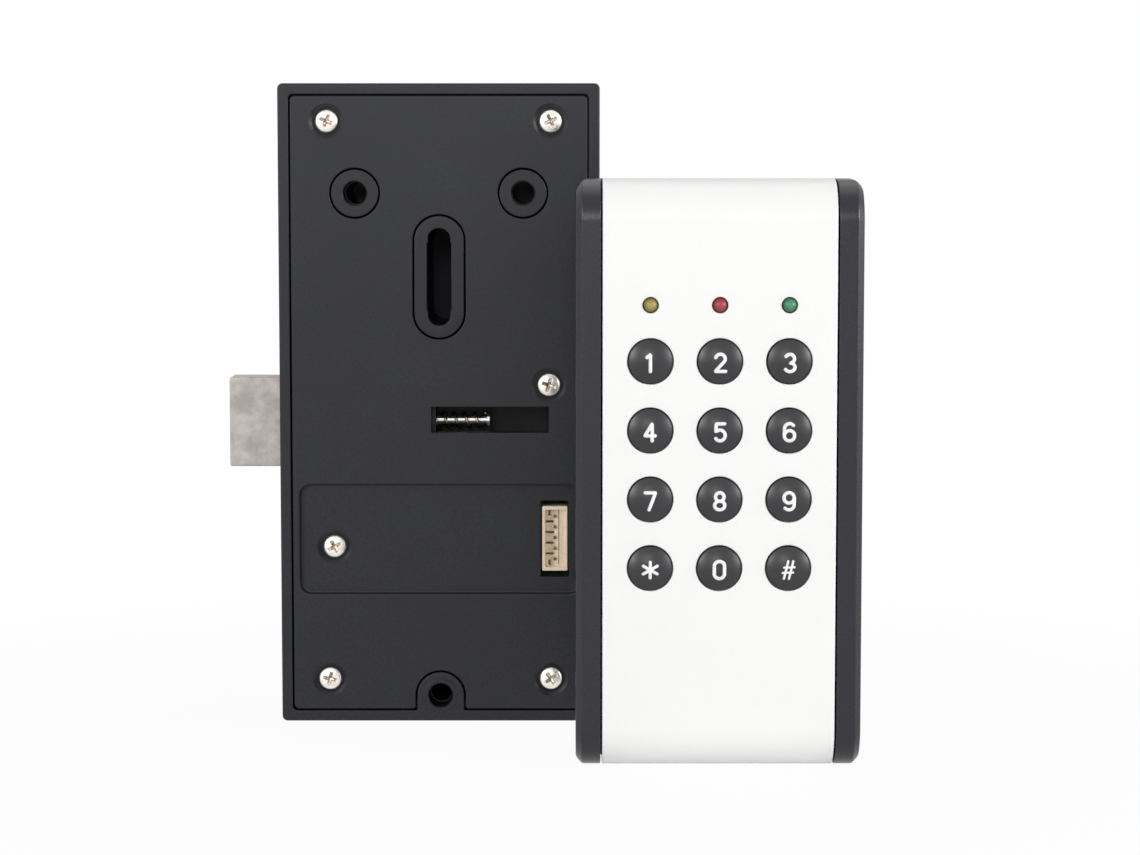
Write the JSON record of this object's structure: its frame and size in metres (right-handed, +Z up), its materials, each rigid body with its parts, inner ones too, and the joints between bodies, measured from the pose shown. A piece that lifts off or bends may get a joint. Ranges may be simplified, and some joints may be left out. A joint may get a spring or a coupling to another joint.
{
  "type": "electronic cabinet lock",
  "caption": "Battery bolt unit for the inside of a cabinet door, mounting side shown, with its separate keypad: sliding square bolt, driven coil, sprung keys and removable battery lid.",
  "frame": {"origin": "on the surface that both units stand on, under the middle of the pair's box", "axes": "+Z up, +X from the bolt's tip towards the keypad, +Y from the keypad's keys towards the bolt unit's room side"},
  "size_m": [0.1244, 0.0802, 0.13],
  "materials": {
    "black_abs": "fine spark-textured black ABS",
    "black_cheek": "fine-textured black ABS",
    "white_abs": "smooth satin white ABS",
    "key_plastic": "satin dark grey key caps with white printed legends",
    "bolt_steel": "matt sintered steel",
    "nickel_steel": "bright nickel plate",
    "motor_steel": "drawn steel can",
    "dark_nylon": "black nylon",
    "board": "green solder mask on glass-epoxy board",
    "cream_nylon": "natural cream nylon",
    "cell_jacket": "plain glossy shrink jacket",
    "silicone": "grey silicone rubber",
    "brass": "turned brass",
    "yellow_epoxy": "tinted clear epoxy, unlit",
    "red_epoxy": "tinted clear epoxy, unlit",
    "green_epoxy": "tinted clear epoxy, unlit"
  },
  "bodies": {
    "root": {"lock_casing": "black_abs", "lock_cover": "black_abs", "cover_screw_1": "nickel_steel", "cover_screw_2": "nickel_steel", "cover_screw_3": "nickel_steel", "cover_screw_4": "nickel_steel", "cover_screw_5": "nickel_steel", "cover_screw_6": "nickel_steel", "board_screw_1": "nickel_steel", "board_screw_2": "nickel_steel", "motor": "motor_steel", "gearbox": "dark_nylon", "lock_board": "board", "lock_socket": "cream_nylon", "socket_pin_1": "nickel_steel", "socket_pin_2": "nickel_steel", "socket_pin_3": "nickel_steel", "socket_pin_4": "nickel_steel", "socket_pin_5": "nickel_steel", "battery_cell_1": "cell_jacket", "battery_cell_2": "cell_jacket", "battery_cell_3": "cell_jacket", "battery_cell_4": "cell_jacket", "contact_low_left": "nickel_steel", "contact_low_right": "nickel_steel", "contact_high_left": "nickel_steel", "contact_high_middle": "nickel_steel", "contact_high_right": "nickel_steel", "keypad_casing": "black_cheek", "keypad_face": "white_abs", "key_mat": "silicone", "keypad_board": "board", "keypad_socket": "cream_nylon", "buzzer": "dark_nylon", "lamp_yellow": "yellow_epoxy", "lamp_red": "red_epoxy", "lamp_green": "green_epoxy", "brass_insert_1": "brass", "brass_insert_2": "brass", "brass_insert_3": "brass", "case_screw_1": "nickel_steel", "case_screw_2": "nickel_steel"},
    "bolt": {"bolt": "bolt_steel", "bolt_carriage": "dark_nylon"},
    "drive": {"drive_shaft": "nickel_steel", "drive_coil": "nickel_steel"},
    "battery_lid": {"battery_lid": "black_abs"},
    "key_1": {"key_1": "key_plastic"},
    "key_2": {"key_2": "key_plastic"},
    "key_3": {"key_3": "key_plastic"},
    "key_4": {"key_4": "key_plastic"},
    "key_5": {"key_5": "key_plastic"},
    "key_6": {"key_6": "key_plastic"},
    "key_7": {"key_7": "key_plastic"},
    "key_8": {"key_8": "key_plastic"},
    "key_9": {"key_9": "key_plastic"},
    "key_0": {"key_0": "key_plastic"},
    "key_star": {"key_star": "key_plastic"},
    "key_hash": {"key_hash": "key_plastic"}
  },
  "joints": [
    {"name": "bolt_slide", "type": "slide", "parent": "root", "child": "bolt", "axis": [1, 0, 0], "range_m": [0, 0.0107]},
    {"name": "drive_spin", "type": "hinge", "parent": "root", "child": "drive", "pos_m": [-0.01897, 0.0197, 0.0612], "axis": [1, 0, 0], "range_deg": [-1830, 0]},
    {"name": "battery_lid_lift", "type": "slide", "parent": "root", "child": "battery_lid", "axis": [0, 1, 0], "range_m": [0, 0.015]},
    {"name": "key_1_press", "type": "slide", "parent": "root", "child": "key_1", "axis": [0, 1, 0], "range_m": [0, 0.001], "stiffness_N_per_m": 600, "springref_m": -0.0003},
    {"name": "key_2_press", "type": "slide", "parent": "root", "child": "key_2", "axis": [0, 1, 0], "range_m": [0, 0.001], "stiffness_N_per_m": 600, "springref_m": -0.0003},
    {"name": "key_3_press", "type": "slide", "parent": "root", "child": "key_3", "axis": [0, 1, 0], "range_m": [0, 0.001], "stiffness_N_per_m": 600, "springref_m": -0.0003},
    {"name": "key_4_press", "type": "slide", "parent": "root", "child": "key_4", "axis": [0, 1, 0], "range_m": [0, 0.001], "stiffness_N_per_m": 600, "springref_m": -0.0003},
    {"name": "key_5_press", "type": "slide", "parent": "root", "child": "key_5", "axis": [0, 1, 0], "range_m": [0, 0.001], "stiffness_N_per_m": 600, "springref_m": -0.0003},
    {"name": "key_6_press", "type": "slide", "parent": "root", "child": "key_6", "axis": [0, 1, 0], "range_m": [0, 0.001], "stiffness_N_per_m": 600, "springref_m": -0.0003},
    {"name": "key_7_press", "type": "slide", "parent": "root", "child": "key_7", "axis": [0, 1, 0], "range_m": [0, 0.001], "stiffness_N_per_m": 600, "springref_m": -0.0003},
    {"name": "key_8_press", "type": "slide", "parent": "root", "child": "key_8", "axis": [0, 1, 0], "range_m": [0, 0.001], "stiffness_N_per_m": 600, "springref_m": -0.0003},
    {"name": "key_9_press", "type": "slide", "parent": "root", "child": "key_9", "axis": [0, 1, 0], "range_m": [0, 0.001], "stiffness_N_per_m": 600, "springref_m": -0.0003},
    {"name": "key_0_press", "type": "slide", "parent": "root", "child": "key_0", "axis": [0, 1, 0], "range_m": [0, 0.001], "stiffness_N_per_m": 600, "springref_m": -0.0003},
    {"name": "key_star_press", "type": "slide", "parent": "root", "child": "key_star", "axis": [0, 1, 0], "range_m": [0, 0.001], "stiffness_N_per_m": 600, "springref_m": -0.0003},
    {"name": "key_hash_press", "type": "slide", "parent": "root", "child": "key_hash", "axis": [0, 1, 0], "range_m": [0, 0.001], "stiffness_N_per_m": 600, "springref_m": -0.0003}
  ],
  "couplings": [
    {"joint": "drive_spin", "follows": "bolt_slide", "rad_per_m": -2936.1}
  ]
}
